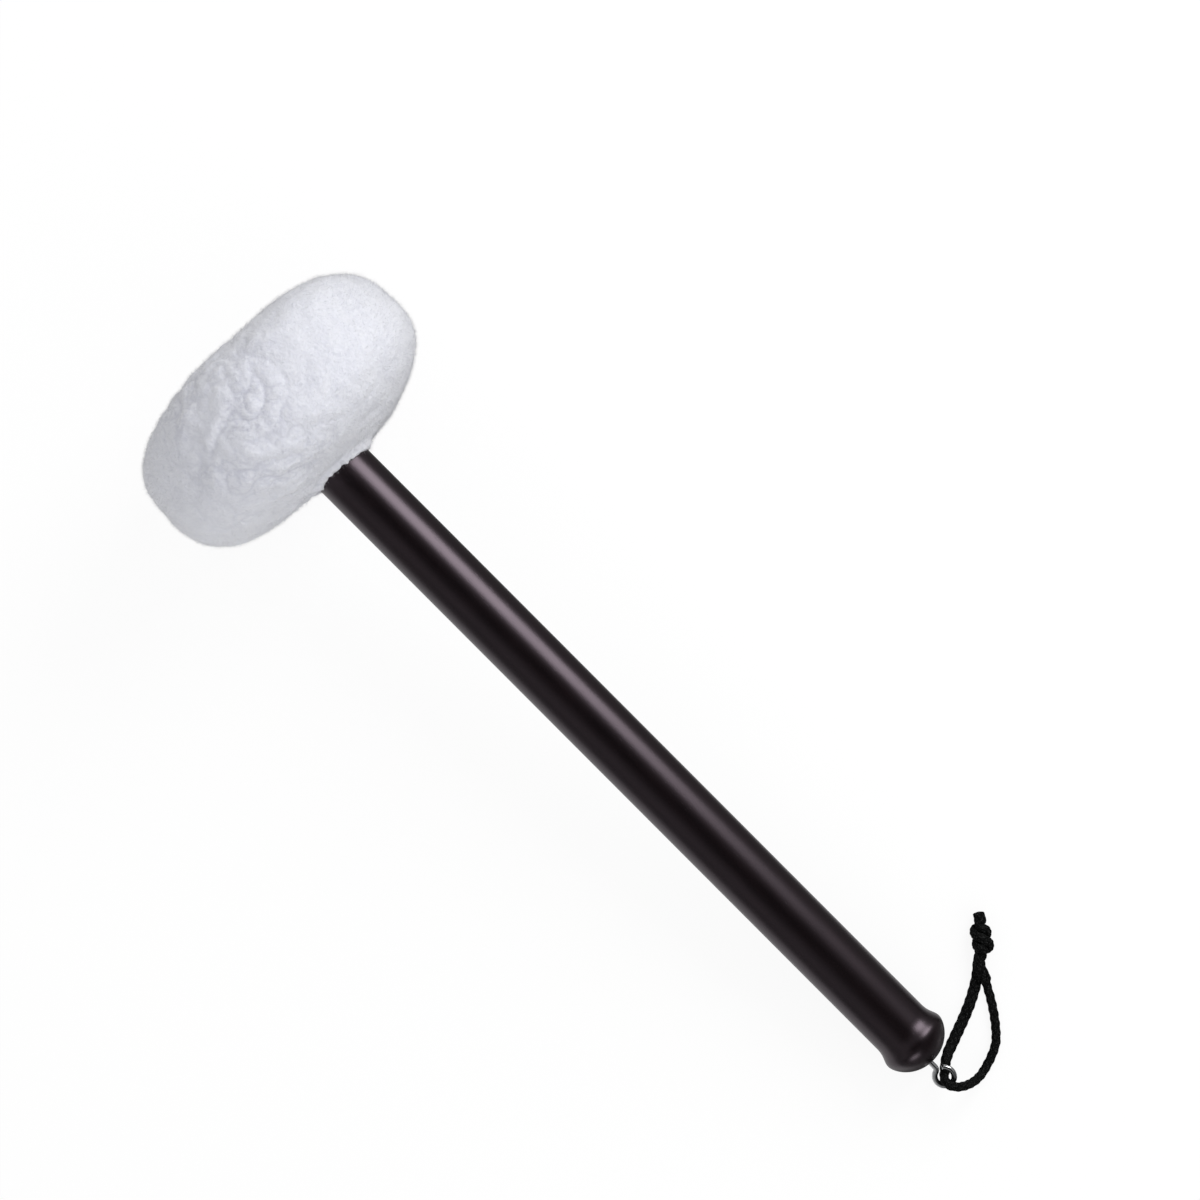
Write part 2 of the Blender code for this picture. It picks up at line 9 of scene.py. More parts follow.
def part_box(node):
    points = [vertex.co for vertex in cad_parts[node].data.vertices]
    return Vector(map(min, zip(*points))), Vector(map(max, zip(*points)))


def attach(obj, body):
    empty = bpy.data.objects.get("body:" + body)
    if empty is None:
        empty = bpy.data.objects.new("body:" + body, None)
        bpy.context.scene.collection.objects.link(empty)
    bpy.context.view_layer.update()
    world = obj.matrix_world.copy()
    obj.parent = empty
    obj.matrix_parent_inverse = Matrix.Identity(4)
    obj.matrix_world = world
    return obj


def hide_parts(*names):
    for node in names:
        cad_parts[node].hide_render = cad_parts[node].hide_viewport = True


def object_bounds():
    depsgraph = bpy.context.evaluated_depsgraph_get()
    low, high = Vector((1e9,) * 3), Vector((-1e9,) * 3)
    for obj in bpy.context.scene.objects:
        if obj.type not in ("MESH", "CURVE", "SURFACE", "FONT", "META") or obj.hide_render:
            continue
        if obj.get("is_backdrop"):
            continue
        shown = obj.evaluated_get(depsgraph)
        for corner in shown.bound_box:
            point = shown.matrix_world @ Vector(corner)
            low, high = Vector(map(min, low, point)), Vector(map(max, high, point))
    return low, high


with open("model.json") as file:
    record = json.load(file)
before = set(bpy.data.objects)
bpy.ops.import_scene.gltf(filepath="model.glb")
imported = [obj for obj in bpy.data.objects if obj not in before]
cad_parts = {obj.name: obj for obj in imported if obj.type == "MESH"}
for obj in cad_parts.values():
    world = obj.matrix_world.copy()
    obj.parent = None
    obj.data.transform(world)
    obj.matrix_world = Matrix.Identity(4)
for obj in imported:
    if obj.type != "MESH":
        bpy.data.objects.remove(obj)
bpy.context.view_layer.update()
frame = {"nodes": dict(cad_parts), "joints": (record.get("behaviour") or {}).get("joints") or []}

# Camera. It stands a metre above the mallet, square to the handle's own slope, and turned so that
# the handle runs from the upper left to the lower right of the picture. The head's core and the
# loop's axis in the eye give the mallet's line.
core_low, core_high = [Vector(corner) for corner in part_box("head_core")]
HEAD_MIDDLE = (core_low + core_high) / 2
RING_CENTRE = Vector(frame["joints"][0]["pos_m"])
SLOPE = math.atan2(HEAD_MIDDLE.z - RING_CENTRE.z, RING_CENTRE.x - HEAD_MIDDLE.x)
TO_BUTT = Vector((math.cos(SLOPE), 0.0, -math.sin(SLOPE)))
UPWARD = Vector((math.sin(SLOPE), 0.0, math.cos(SLOPE)))
TO_LOOP = Vector((0.0, 1.0, 0.0))
PICTURE_TURN = math.radians(45.065)
PICTURE_ALONG = 0.1269  # from the head's middle to the picture's, along the handle
PICTURE_BESIDE = 0.03152  # and to the loop's side
CAMERA_DISTANCE = 1.0
LENS = 85.17  # millimetres


def placed(place, right, up, back):
    """The matrix of an object at a place, with its own three axes along those directions."""
    return Matrix.Translation(place) @ Matrix((right, up, back)).transposed().to_4x4()


camera = bpy.data.objects.new("camera", bpy.data.cameras.new("camera"))
bpy.context.scene.collection.objects.link(camera)
bpy.context.scene.camera = camera
camera.data.lens = LENS
camera.data.sensor_width = 36.0
camera.data.clip_start = 0.05
camera.data.clip_end = 100.0
middle_of_picture = HEAD_MIDDLE + TO_BUTT * PICTURE_ALONG + TO_LOOP * PICTURE_BESIDE
right = TO_BUTT * math.cos(PICTURE_TURN) + TO_LOOP * math.sin(PICTURE_TURN)
up = TO_LOOP * math.cos(PICTURE_TURN) - TO_BUTT * math.sin(PICTURE_TURN)
camera.matrix_world = placed(middle_of_picture + UPWARD * CAMERA_DISTANCE, right, up, UPWARD)
bpy.context.scene.view_settings.view_transform = "Standard"


# Wrist loop. A soft black braided cord goes through the ring and both its ends are tied in one
# overhand knot, with the two ends cut hot beyond it. It lies on the surface, one leg flat and the
# other on its edge, and climbs only where it goes through the ring.
class Thread:
    """A socket in a material's nodes, on which sums can be written."""

    def __init__(self, nodes, socket=None):
        self.nodes = nodes
        self.socket = socket

    def node(self, kind, settings=(), inputs=(), output=0):
        """Adds a node: its settings first, then the values or links of its sockets."""
        made = self.nodes.nodes.new("ShaderNode" + kind)
        for name, value in dict(settings).items():
            if name == "stops":
                stops = made.color_ramp.elements
                stops[0].position, stops[0].color = value[0][0], (*value[0][1], 1.0)
                stops[1].position, stops[1].color = value[-1][0], (*value[-1][1], 1.0)
                for position, colour in value[1:-1]:
                    stops.new(position).color = (*colour, 1.0)
            else:
                setattr(made, name, value)
        for name, value in dict(inputs).items():
            if isinstance(value, Thread):
                self.nodes.links.new(value.socket, made.inputs[name])
            else:
                made.inputs[name].default_value = value
        return Thread(self.nodes, made.outputs[output])

    def maths(self, operation, *values):
        return self.node("Math", {"operation": operation}, enumerate(values))

    def __add__(self, other):
        return self.maths("ADD", self, other)

    def __sub__(self, other):
        return self.maths("SUBTRACT", self, other)

    def __rsub__(self, other):
        return self.maths("SUBTRACT", other, self)

    def __mul__(self, other):
        return self.maths("MULTIPLY", self, other)

    __radd__ = __add__
    __rmul__ = __mul__

    def steps(self, low, high):
        """0 below low and 1 above high, with a soft change between."""
        edges = {"Value": self, "From Min": low, "From Max": high}
        return self.node("MapRange", {"interpolation_type": "SMOOTHSTEP"}, edges)

    def between(self, first, second):
        """The first colour where this mask is 0, and the second where it is 1."""
        first, second = [c if isinstance(c, Thread) else (*c, 1.0) for c in (first, second)]
        return self.node("Mix", {"data_type": "RGBA"}, {0: self, 6: first, 7: second}, 2)

    def speckle(self, place, size, detail=3.0, stretch=None):
        """Soft random patches of about that size, in metres."""
        if stretch:
            turned_to = {"Vector": place, "Rotation": (0, -SLOPE, 0), "Scale": stretch}
            place = self.node("Mapping", {}, turned_to)
        inputs = {"Vector": place, "Scale": 1 / size, "Detail": detail}
        return self.node("TexNoise", {}, inputs)


def new_finish(name, **constants):
    """A material, the thread that starts its nodes, a place on the object, its shader's sockets."""
    made = bpy.data.materials.new(name)
    made.use_nodes = True
    nodes = made.node_tree
    shader = nodes.nodes["Principled BSDF"]
    for socket, value in constants.items():
        shader.inputs[socket.replace("_", " ")].default_value = value
    start = Thread(nodes)
    return made, start, start.node("TexCoord", output=3), shader.inputs


def connect(socket, thread):
    thread.nodes.links.new(thread.socket, socket)


def relief(socket, height, depth):
    """Small relief in the surface, depth metres deep where the height goes from 0 to 1."""
    connect(socket, height.node("Bump", {}, {"Height": height, "Strength": 1.0, "Distance": depth}))


def add_piece(name, points, faces, finish, body):
    mesh = bpy.data.meshes.new(name)
    mesh.from_pydata(points, [], faces)
    mesh.materials.append(finish)
    mesh.shade_smooth()
    made = bpy.data.objects.new(name, mesh)
    bpy.context.scene.collection.objects.link(made)
    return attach(made, body)


CORD_STACK = 0.0035  # between the middles of the two legs where one lies on the other
FLAT_LEG = (0.00205, 0.0013)  # half width and half thickness
ROUND_LEG = (0.0016, 0.0015)
KNOT_HEADING = math.radians(133.4)
KNOT_FOOT = Vector((-0.0210, 0.0389, 0.0))
KNOT_LENGTH = 0.0109
KNOT_SWAY = (0.0020, -0.0003)  # how far the wrap hangs to one side at its foot and at its top
SWAY_FROM = 1.2  # millimetres from the knot's line where the sway begins
SWAY_RUN = 1.6  # millimetres over which it grows to its full size
KNOT_MIDDLE_HEIGHT = 0.00428
KNOT_END_HEIGHT = 0.00335
KNOT_HUMP = 0.6  # power of the knot's rise: less is squarer
TAIL_HEADING = math.radians(147)
TAIL_LENGTH = 0.0042
TAIL_START = 0.0003  # beyond the knot's length
FLOOR_GAP = 0.0001  # between the cord and what it lies on
FOOT_LIFT = 1.15  # of the flat leg's height, where it comes out of the knot
LEG_STRAIGHT = 0.0014
LEG_CLIMB = 0.0085
BRAID_STRANDS = 5  # of each hand
BRAID_PITCH = 0.0033
BRAID_DEPTH = 0.00030
BRAID_LEVEL = 0.62  # the height of the plait that lies on the cord's own oval
CORD_SIDES = 44
CORD_STEP = 0.00022
END_ROUND = 0.0007
END_LEAST = 0.02  # of the squared width, at the very end
WRAP_STEPS = 12
LAID = -1.0  # far below the surface, so that the cord lies on it

# Places of the cord from the ring's centre, seen from above, and the height above that centre.
LOOP_ROUTE = [
    (-0.0165, 0.0335, LAID), (-0.0142, 0.0299, LAID), (-0.0115, 0.0248, LAID), (-0.0092, 0.0194, LAID),
    (-0.0072, 0.0139, -0.0086), (-0.0057, 0.0097, -0.0077), (-0.0045, 0.0064, -0.0061),
    (-0.0028, 0.0034, -0.0045), (-0.0010, 0.0011, -0.0027), (-0.0002, -0.0001, 0.0),
    (0.0011, -0.0008, 0.0025), (0.0036, -0.0006, 0.0035), (0.0065, 0.0018, 0.0014),
    (0.0085, 0.0055, -0.0033), (0.0090, 0.0092, -0.0072), (0.0083, 0.0129, -0.0086),
    (0.0070, 0.0169, LAID), (0.0049, 0.0210, LAID), (0.0016, 0.0244, LAID), (-0.0027, 0.0278, LAID),
    (-0.0074, 0.0309, LAID),
]  # fmt: skip
FLAT_ROUTE = 5  # points of the flat leg
ROUND_FROM = 9

# One leg's way through the knot: millimetres along it, degrees round it, millimetres from its
# line, then half width and half thickness. It goes up the middle, down round both legs, and up.
KNOT_WAY = [
    (0.1, -90, 1.70, 1.95, 1.30), (1.0, -95, 1.35, 1.50, 1.00), (2.4, -112, 0.92, 0.90, 0.74),
    (4.0, -125, 0.90, 0.85, 0.70), (6.5, -135, 0.90, 0.85, 0.70), (8.2, -128, 1.15, 1.00, 0.85),
    (9.4, -105, 1.95, 1.30, 1.00), (9.6, -75, 2.60, 1.50, 1.10),
]  # fmt: skip
KNOT_WAY += [
    (9.2 - 7.6 * i / WRAP_STEPS, -48 + 27 * i, 2.72 + 0.014 * i, 1.72, 1.12) for i in range(WRAP_STEPS)
]
KNOT_WAY += [
    (1.5, 276, 2.60, 1.50, 1.05), (1.1, 298, 1.90, 1.25, 0.95), (1.6, 312, 1.20, 1.00, 0.85),
    (3.6, 315, 0.92, 0.85, 0.72), (6.0, 315, 0.90, 0.85, 0.70), (8.6, 305, 1.00, 0.95, 0.80),
    (10.0, 285, 1.30, 1.40, 1.00), (10.9, 272, 1.70, 1.80, 1.25),
]  # fmt: skip

knot_ahead = Vector((math.cos(KNOT_HEADING), math.sin(KNOT_HEADING), 0.0))
knot_beside = Vector((-knot_ahead.y, knot_ahead.x, 0.0))
on_floor = Vector((RING_CENTRE.x, RING_CENTRE.y, 0.0))


def station(place, thin, half_width, half_thickness):
    return Vector((*place, *thin, half_width, half_thickness))


def through_knot(phase, tail_height):
    """The stations of one leg from the knot's foot to the end of its tail."""
    way = []
    for along, degrees, off, half_width, half_thickness in KNOT_WAY:
        turn = math.radians(degrees + phase)
        out = knot_beside * math.cos(turn) + Vector((0.0, 0.0, math.sin(turn)))
        share = along / 1000 / KNOT_LENGTH
        rise = math.sin(math.pi * min(1.0, share)) ** KNOT_HUMP
        line = on_floor + KNOT_FOOT + knot_ahead * (along / 1000)
        outer = min(1.0, max(0.0, (off - SWAY_FROM) / SWAY_RUN))
        line -= knot_beside * (outer * (KNOT_SWAY[0] * (1 - share) + KNOT_SWAY[1] * share))
        line.z = KNOT_END_HEIGHT + (KNOT_MIDDLE_HEIGHT - KNOT_END_HEIGHT) * rise
        way.append(station(line + out * (off / 1000), out, half_width / 1000, half_thickness / 1000))
    start = on_floor + KNOT_FOOT + knot_ahead * (KNOT_LENGTH + TAIL_START)
    bend = start + knot_ahead * (TAIL_LENGTH / 3)
    end = bend + Vector((math.cos(TAIL_HEADING), math.sin(TAIL_HEADING), 0.0)) * (TAIL_LENGTH * 2 / 3)
    lift = Vector((0.0, 0.0, tail_height))
    thin = Vector((0.0, 0.0, math.copysign(1.0, phase - 1)))
    return way + [station(place + lift, thin, *FLAT_LEG) for place in (start.lerp(bend, 0.5), bend, end)]


def loop_stations():
    """The stations of both legs, from the knot's foot through the ring and back."""
    foot = on_floor + KNOT_FOOT
    flat_height = Vector((0.0, 0.0, FLAT_LEG[1] + FLOOR_GAP))
    start = foot - knot_ahead * LEG_STRAIGHT + flat_height * FOOT_LIFT
    stations = [station(start, (0, 0, 1), *FLAT_LEG)]
    route = []
    for index, (x, y, height) in enumerate(LOOP_ROUTE):
        share = min(1.0, max(0.0, (index - FLAT_ROUTE) / (ROUND_FROM - FLAT_ROUTE)))
        half_width, half_thickness = [a + (b - a) * share for a, b in zip(FLAT_LEG, ROUND_LEG)]
        level = max(RING_CENTRE.z + height, half_thickness + FLOOR_GAP)
        place = Vector((RING_CENTRE.x + x, RING_CENTRE.y + y, level))
        route.append(station(place, (0, 0, 1), half_width, half_thickness))
    stations += route
    lower = foot - knot_ahead * LEG_STRAIGHT + Vector((0.0, 0.0, ROUND_LEG[1] + FLOOR_GAP))
    run = route[0].to_3d() - lower
    run = Vector((run.x, run.y, 0.0)).normalized()
    beside = Vector((-run.y, run.x, 0.0))
    for share in (1.0, 0.75, 0.5, 0.25):
        roll = share**2 * math.pi / 2
        offset = beside * math.sin(roll) + Vector((0.0, 0.0, math.cos(roll)))
        place = lower + run * (LEG_CLIMB * share) + offset * CORD_STACK
        stations.append(station(place, (0, 0, 1), *(FLAT_LEG if share < 1.0 else ROUND_LEG)))
    stations.append(station(lower + Vector((0.0, 0.0, CORD_STACK)), (0, 0, 1), *FLAT_LEG))
    return stations


def smooth_way(stations, step):
    """Stations about a step apart on the smooth curve through the given ones."""
    for before, now in zip(stations, stations[1:]):
        if sum(before[k] * now[k] for k in (3, 4, 5)) < 0:
            for k in (3, 4, 5):
                now[k] = -now[k]
    ends = [2 * stations[0] - stations[1], *stations, 2 * stations[-1] - stations[-2]]
    way = []
    for before, start, end, after in zip(ends, ends[1:], ends[2:], ends[3:]):
        pieces = max(1, round((end.to_3d() - start.to_3d()).length / step))
        for i in range(pieces):
            t = i / pieces
            way.append(
                start
                + (end - before) * (t / 2)
                + (2 * before - 5 * start + 4 * end - after) * (t * t / 2)
                + (3 * start - before - 3 * end + after) * (t**3 / 2)
            )
    way.append(ends[-2])
    return way


def braid_height(across, along):
    """Height of the plait at a place, from 0 in a groove to 1 on a strand's back."""
    one, two = across + along, across - along
    over = (math.floor(one) + math.floor(two)) % 2 == 0
    side, way = (one % 1, two % 1) if over else (two % 1, one % 1)
    return math.sin(math.pi * side) ** 0.7 * (0.3 + 0.7 * math.sin(math.pi * way) ** 0.8)


lower_leg = through_knot(0, ROUND_LEG[1] + FLOOR_GAP)
upper_leg = through_knot(180, ROUND_LEG[1] + FLOOR_GAP + CORD_STACK)
cord_way = smooth_way(lower_leg[::-1] + loop_stations() + upper_leg, CORD_STEP)
cord_line = [s.to_3d() for s in cord_way]
reached = [0.0]
for before, now in zip(cord_line, cord_line[1:]):
    reached.append(reached[-1] + (now - before).length)
cord_length = reached[-1]

points = []
rings = len(cord_way)
for index, here in enumerate(cord_way):
    place = cord_line[index]
    ahead = (cord_line[min(index + 1, rings - 1)] - cord_line[max(index - 1, 0)]).normalized()
    thin = Vector(here[3:6])
    thin = (thin - ahead * thin.dot(ahead)).normalized()
    wide = ahead.cross(thin)
    from_end = min(reached[index], cord_length - reached[index])
    full = math.sqrt(max(END_LEAST, 1 - (1 - min(1.0, from_end / END_ROUND)) ** 2))
    half_width, half_thickness = here[6] * full, here[7] * full
    for side in range(CORD_SIDES):
        turn = 2 * math.pi * side / CORD_SIDES
        cos, sin = math.cos(turn), math.sin(turn)
        out = (wide * (cos / half_width) + thin * (sin / half_thickness)).normalized()
        height = braid_height(BRAID_STRANDS * side / CORD_SIDES, reached[index] / BRAID_PITCH)
        lift = (height - BRAID_LEVEL) * BRAID_DEPTH * full * half_thickness / ROUND_LEG[1]
        spot = place + wide * (half_width * cos) + thin * (half_thickness * sin) + out * lift
        spot.z = max(spot.z, 0.0)
        points.append(spot)
faces = []
for index in range(rings - 1):
    for side in range(CORD_SIDES):
        first, second = index * CORD_SIDES + side, index * CORD_SIDES + (side + 1) % CORD_SIDES
        faces.append((first, second, second + CORD_SIDES, first + CORD_SIDES))
faces.append(tuple(reversed(range(CORD_SIDES))))
faces.append(tuple(range((rings - 1) * CORD_SIDES, rings * CORD_SIDES)))

black_braid, start, place, shader = new_finish("black_braid", Specular_IOR_Level=0.12)
layout = start.node("UVMap", {"uv_map": "braid"})
layout = [layout.node("SeparateXYZ", {}, {"Vector": layout}, k) for k in (0, 1)]
one, two = layout[0] + layout[1], layout[0] - layout[1]
cells = one.maths("FLOOR", one) + one.maths("FLOOR", two) + 1000
over = cells.maths("MODULO", cells, 2.0)
one_part, two_part = one.maths("FRACT", one), one.maths("FRACT", two)
side = one_part * (1 - over) + two_part * over
back = one.maths("SINE", side * math.pi)
YARNS = 4
yarn = one.maths("SINE", side * (2 * math.pi * YARNS)) * 0.5 + 0.5
fibre = one.speckle(place, 0.00045, 2.0)
# Painted highlight and shade: the yarns on each strand's back get light flecks, where light catches
# them, and the grooves between strands are darkest, as shade.
yarn_highlight = (yarn * fibre.steps(0.42, 0.74)) * back
connect(shader["Base Color"], yarn_highlight.between((0.0008, 0.0009, 0.0009), (0.052, 0.053, 0.053)))
connect(shader["Roughness"], 0.72 - yarn * 0.18)
relief(shader["Normal"], yarn * 0.6 + fibre * 0.8, 0.00006)

loop = add_piece("braided_cord_loop", points, faces, black_braid, "loop")
layout = loop.data.uv_layers.new(name="braid")
for polygon in loop.data.polygons:
    if len(polygon.vertices) == 4:
        for corner, vertex in zip(polygon.loop_indices, polygon.vertices):
            index, side = divmod(vertex, CORD_SIDES)
            if side == 0 and polygon.vertices[0] % CORD_SIDES == CORD_SIDES - 1:
                side = CORD_SIDES
            layout.data[corner].uv = (BRAID_STRANDS * side / CORD_SIDES, reached[index] / BRAID_PITCH)
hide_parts("loop_cord", "loop_knot", "loop_tail_under", "loop_tail_over")
[tuple(p) for p in cord_line[::-4]] + [tuple(cord_line[0])]

# Handle. One piece of hardwood turned to a straight grip with a flare and a domed butt, and a
# tenon for the head. It is stained dark, lacquered and rubbed to a satin shine, so that only a
# trace of its long grain shows.
LIE = Matrix.Translation(HEAD_MIDDLE) @ Matrix.Rotation(SLOPE - math.pi / 2, 4, "Y")
FIT_GAP = 0.0003
CORE_HALF = 0.018
HANDLE_RADIUS = 0.0111
TENON_RADIUS = 0.0080
TENON_TOP = 0.0076
TENON_EDGE = 0.0010
BUTT_END = -0.32435
FLARE_AT = -0.31485
FLARE_RADIUS = 0.01275
FLARE_RUN = 0.0071
FLARE_TO_END = 0.0095
SCREW_HOLE_RADIUS = 0.0027
SCREW_HOLE_BOTTOM = -0.0195
SCREW_TIP = 0.005
EYE_OFF_AXIS = -0.0011
EYE_HOLE_RADIUS = 0.00105
EYE_HOLE_DEPTH = 0.0163
EYE_HOLE_TIP = 0.002
DRILL_REACH = 0.01  # how far the drill stands out of the butt
HANDLE_SIDES = 160


def bezier(first, first_pull, last_pull, last, count):
    """Points of a smooth curve between two ends, each with its pull."""
    made = []
    for i in range(count + 1):
        t = i / count
        weights = ((1 - t) ** 3, 3 * t * (1 - t) ** 2, 3 * t * t * (1 - t), t**3)
        corners = (first, first_pull, last_pull, last)
        made.append(tuple(sum(w * c[k] for w, c in zip(weights, corners)) for k in range(2)))
    return made


def turned(outline, sides, closed=False):
    """Points and faces of a shape turned about the mallet's line, from (radius, height) points."""
    made, rows, faces = [], [], []
    for radius, height in outline:
        rows.append(range(len(made), len(made) + (sides if radius > 1e-7 else 1)))
        for side in range(len(rows[-1])):
            turn = 2 * math.pi * side / sides
            made.append(LIE @ Vector((radius * math.cos(turn), radius * math.sin(turn), height)))
    for upper, lower in zip(rows, rows[1:] + rows[:1] if closed else rows[1:]):
        for side in range(sides):
            corners = [upper[side % len(upper)], upper[(side + 1) % len(upper)]]
            corners += [lower[(side + 1) % len(lower)], lower[side % len(lower)]]
            faces.append(tuple(dict.fromkeys(corners))[::-1])
    return made, faces


outline = [(0.0, SCREW_HOLE_BOTTOM), (SCREW_HOLE_RADIUS, SCREW_HOLE_BOTTOM + SCREW_TIP)]
outline += [(SCREW_HOLE_RADIUS, TENON_TOP), (TENON_RADIUS - TENON_EDGE, TENON_TOP)]
outline += [(TENON_RADIUS, TENON_TOP - TENON_EDGE), (TENON_RADIUS, -CORE_HALF - FIT_GAP)]
grip_top, grip_end = -CORE_HALF - FIT_GAP, FLARE_AT + FLARE_RUN
outline += [(HANDLE_RADIUS, grip_top + (grip_end - grip_top) * i / 24) for i in range(24)]
outline += bezier(
    (HANDLE_RADIUS, grip_end),
    (HANDLE_RADIUS, grip_end - 0.55 * FLARE_RUN),
    (FLARE_RADIUS, FLARE_AT + 0.30 * FLARE_RUN),
    (FLARE_RADIUS, FLARE_AT),
    28,
)
outline += bezier(
    (FLARE_RADIUS, FLARE_AT),
    (FLARE_RADIUS, FLARE_AT - 0.30 * FLARE_TO_END),
    (0.67 * FLARE_RADIUS, BUTT_END),
    (0.0, BUTT_END),
    40,
)[1:]

dark_lacquer, start, place, shader = new_finish(
    "dark_lacquer", Specular_IOR_Level=0.90, Specular_Tint=(1.0, 0.82, 0.95, 1.0)
)
grain = start.speckle(place, 0.0016, 5.0, (0.035, 1.0, 1.0))
pores = start.speckle(place, 0.00035, 2.0, (0.02, 1.0, 1.0)).steps(0.60, 0.78)
figure = start.speckle(place, 0.010, 3.0, (0.12, 1.0, 1.0))
stain = (grain * 0.6 + figure * 0.5).steps(0.35, 0.75)
colour = stain.between((0.0030, 0.0012, 0.0013), (0.0062, 0.0026, 0.0029))
connect(shader["Base Color"], (pores * 0.6).between(colour, (0.0028, 0.0014, 0.0015)))
connect(shader["Roughness"], 0.29 + start.speckle(place, 0.006, 4.0, (0.3, 1.0, 1.0)) * 0.05)
relief(shader["Normal"], grain * 0.4 - pores * 0.5, 0.00002)

points, faces = turned(outline, HANDLE_SIDES)
handle = add_piece("turned_handle", points, faces, dark_lacquer, "mallet")
handle.data.set_sharp_from_angle(angle=math.radians(35))
hole_end = BUTT_END + EYE_HOLE_DEPTH
hole = [(0.0, hole_end), (EYE_HOLE_RADIUS, hole_end - EYE_HOLE_TIP)]
hole += [(EYE_HOLE_RADIUS, BUTT_END - DRILL_REACH), (0.0, BUTT_END - DRILL_REACH)]
mesh = bpy.data.meshes.new("eye_hole_drill")
points, faces = turned(hole, 24)
mesh.from_pydata(points, [], faces)
drill = bpy.data.objects.new("eye_hole_drill", mesh)
bpy.context.scene.collection.objects.link(drill)
drill.location = TO_LOOP * EYE_OFF_AXIS
drilled = handle.modifiers.new("Eye hole", "BOOLEAN")
drilled.operation = "DIFFERENCE"
drilled.solver = "EXACT"
drilled.object = drill
bpy.context.view_layer.update()
shaped = bpy.data.meshes.new_from_object(handle.evaluated_get(bpy.context.evaluated_depsgraph_get()))
handle.modifiers.clear()
handle.data = shaped
bpy.data.objects.remove(drill)
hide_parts("handle")

# Core of the head. A turned drum of pale hardwood with a bore for the tenon, left bare, because
# the padding covers it.
bare_wood, start, place, shader = new_finish("bare_wood", Specular_IOR_Level=0.3)
grain = start.speckle(place, 0.0020, 4.0, (0.08, 1.0, 1.0))
wave = {"Vector": place, "Scale": 60.0, "Distortion": 6.0}
growth = start.node("TexWave", {"wave_type": "RINGS"}, wave)
colour = (grain * 0.6 + growth * 0.4).between((0.60, 0.42, 0.25), (0.42, 0.27, 0.14))
connect(shader["Base Color"], colour)
connect(shader["Roughness"], 0.55 + grain * 0.2)
relief(shader["Normal"], grain, 0.0001)
frame["nodes"]["head_core"].material_slots[0].material = bare_wood

# Screw and washer that pull the core on to the tenon. Both are zinc plated steel.
zinc_plate, start, place, shader = new_finish("zinc_plate", Metallic=1.0)
cloud = start.speckle(place, 0.0012, 4.0)
connect(shader["Base Color"], cloud.between((0.50, 0.52, 0.54), (0.68, 0.69, 0.68)))
connect(shader["Roughness"], 0.28 + cloud * 0.2)
for name in ("head_screw", "head_washer"):
    frame["nodes"][name].material_slots[0].material = zinc_plate

# Padding. A strip of pressed wool felt is wound round the core, with a felt disc over its front
# and a felt ring behind it.
wool_felt, start, place, shader = new_finish("wool_felt", Specular_IOR_Level=0.15)
fibres = start.speckle(place, 0.0007, 6.0)
tufts = start.speckle(place, 0.004, 3.0)
colour = (fibres * 0.5 + tufts * 0.5).between((0.48, 0.46, 0.43), (0.74, 0.72, 0.69))
connect(shader["Base Color"], colour)
connect(shader["Roughness"], 0.88 + fibres * 0.1)
relief(shader["Normal"], fibres + tufts, 0.0003)
for name in ("felt_rim_band", "felt_front_pad", "felt_rear_pad"):
    frame["nodes"][name].material_slots[0].material = wool_felt

# Fleece cover. A sock of thick white fleece drawn over the padding and gathered at the neck. It is
# a little fuller on one side, its cotton lies in soft lumps with fine creases between them, most of
# all on the side away from the loop, and short fibres stand out of it everywhere.
HEAD_RADIUS = 0.0560
HEAD_HALF = 0.0297
FULLNESS = 2.7
FRONT_HALF = 0.0285  # the front face is flatter than the back
FRONT_FULLNESS = 3.1
PILE_INSET = 0.0011
NECK_RADIUS = 0.0114
CHANNEL_HALF = 0.0013
CHANNEL_RADIUS = 0.0137
FLEECE_SIDES = 560
FLEECE_ROWS = 250
REST_GAP = 0.0002
# How much fuller than the plain oval the head is, by powers of the share across it: front and back.
FRONT_SWELL = (0.00032, -0.00043, -0.00065, -0.00046, 0.00075)
REAR_SWELL = (0.00043, 0.00076, -0.00042, -0.00149, 0.00051)
BILLOW = 0.036
BILLOW_HEIGHT = 0.0019
BILLOW_START = Vector((39.1, 41.2, 18.0))  # where in the noise the billows are read
FRONT_TO_REAR = 0.012  # how softly the front's swelling passes into the rear's
LUMPS = [(0.0092, 0.0018), (0.0048, 0.0007), (0.0025, 0.0002)]  # size and height
LUMP_LEVEL = 0.2  # the height of a lump that lies on the oval
LUMP_SOFTNESS = 0.025
LUMP_SEAM = 0.11
LUMP_BEND = 0.0022  # how far the lumps are pulled about
LUMP_BEND_SIZE = 0.012
CREASE_SHADE_PATCH = 0.016  # size of the patches where the creases are painted darker as shade
SMOOTH_LUMPS = 0.4  # of the lumps' height, where the cotton is smoothest
ROUGH_MIDDLE = -0.015  # how far to the loop's side the cotton is roughest
ROUGH_RUN = 0.026
ROUGH_PATCH = 0.030
ROUGH_START = Vector((3, 1, 4))
NUB = 0.0014
NUB_HEIGHT = 0.00012
LIP = 0.0035  # how far the pile laps on to the handle
LIP_RADIUS = 0.0162
LIP_CURVE = 1.3
LIP_WAVES = [(0.3, 1.6, 0.5), (0.7, 6.0, 0.25)]  # start, fineness and share of its ragged edge
LINE_STEPS = 4000  # that the oval's line is measured in
FLEECE_SEED = 11

# Blender's vector noise starts from the clock in each run unless it is given a seed.
noise.seed_set(FLEECE_SEED)

cord_low, cord_high = [Vector(corner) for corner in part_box("neck_drawcord")]
NECK_MIDDLE = -((cord_low + cord_high) / 2 - HEAD_MIDDLE).dot(TO_BUTT)


